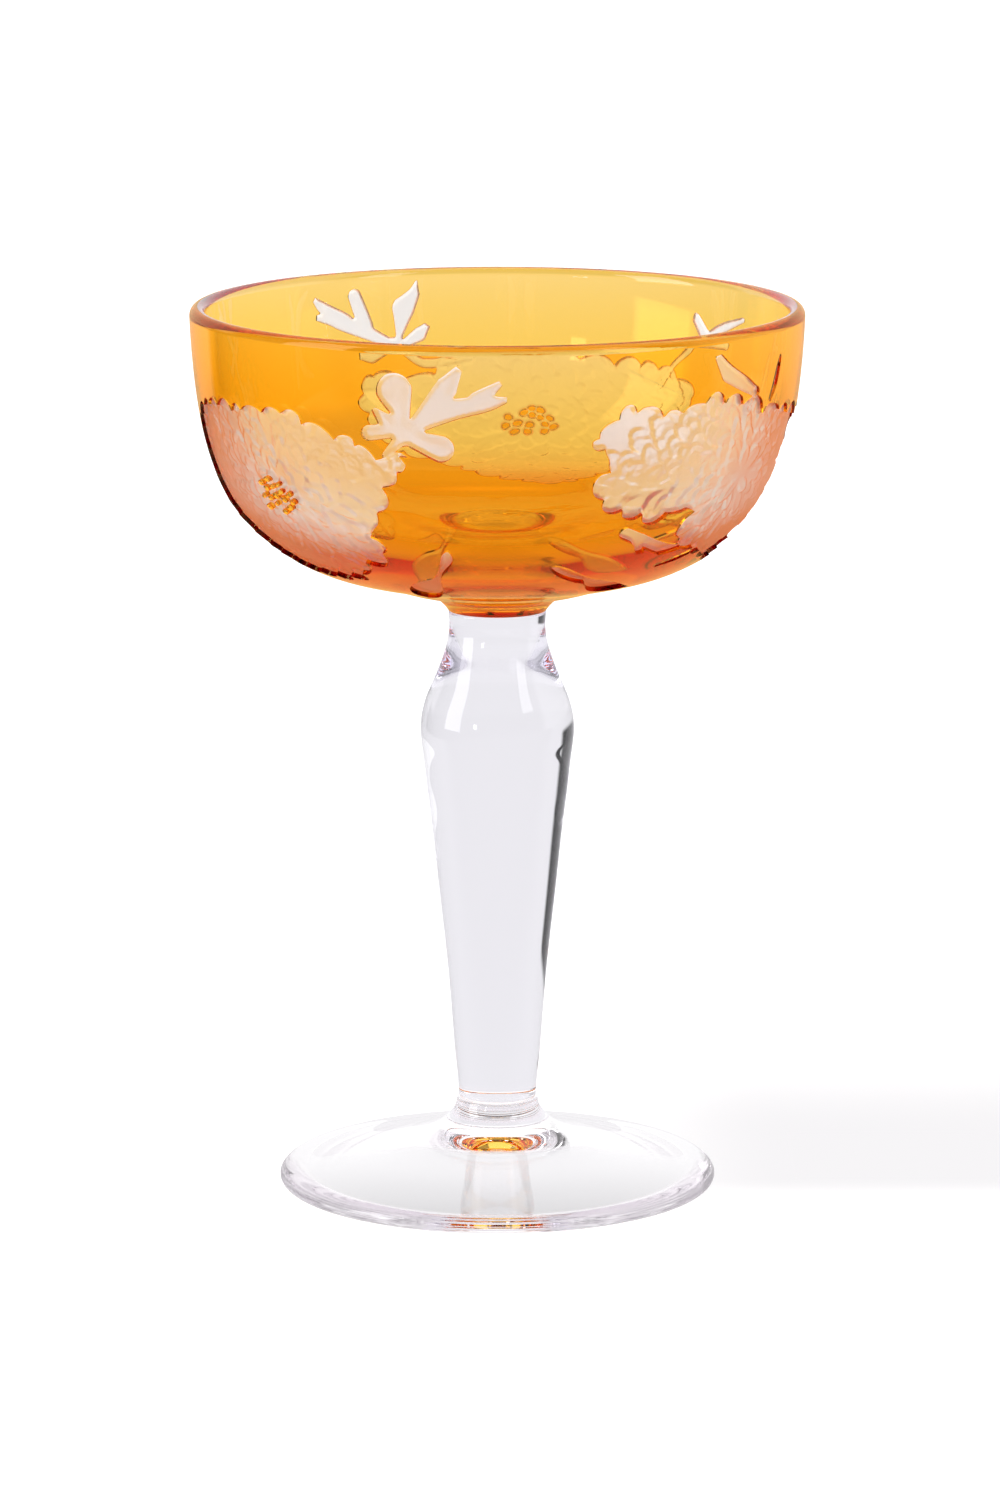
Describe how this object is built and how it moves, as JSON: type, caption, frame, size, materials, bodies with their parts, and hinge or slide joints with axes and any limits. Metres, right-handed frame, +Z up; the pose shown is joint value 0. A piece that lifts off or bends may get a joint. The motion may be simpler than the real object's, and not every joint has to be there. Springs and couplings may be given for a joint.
{
  "type": "champagne coupe",
  "caption": "Stemmed champagne coupe: wide bowl of clear glass cased in amber and carved with frosted flowers, on a shouldered clear stem and round foot.",
  "frame": {"origin": "centre of the foot's underside, on the table", "axes": "+Z up along the axis the glass is turned about; -Y is the front, between the left and the right carved flower"},
  "size_m": [0.1002, 0.1002, 0.1466],
  "materials": {
    "clear_bowl_glass": "polished, with frosted carving",
    "amber_glass": "polished",
    "clear_glass": "polished"
  },
  "bodies": {
    "root": {"bowl_liner": "clear_bowl_glass", "amber_overlay": "amber_glass", "left_flower_seeds": "amber_glass", "back_flower_seeds": "amber_glass", "stem": "clear_glass", "stem_merese": "clear_glass", "foot": "clear_glass"}
  },
  "joints": []
}
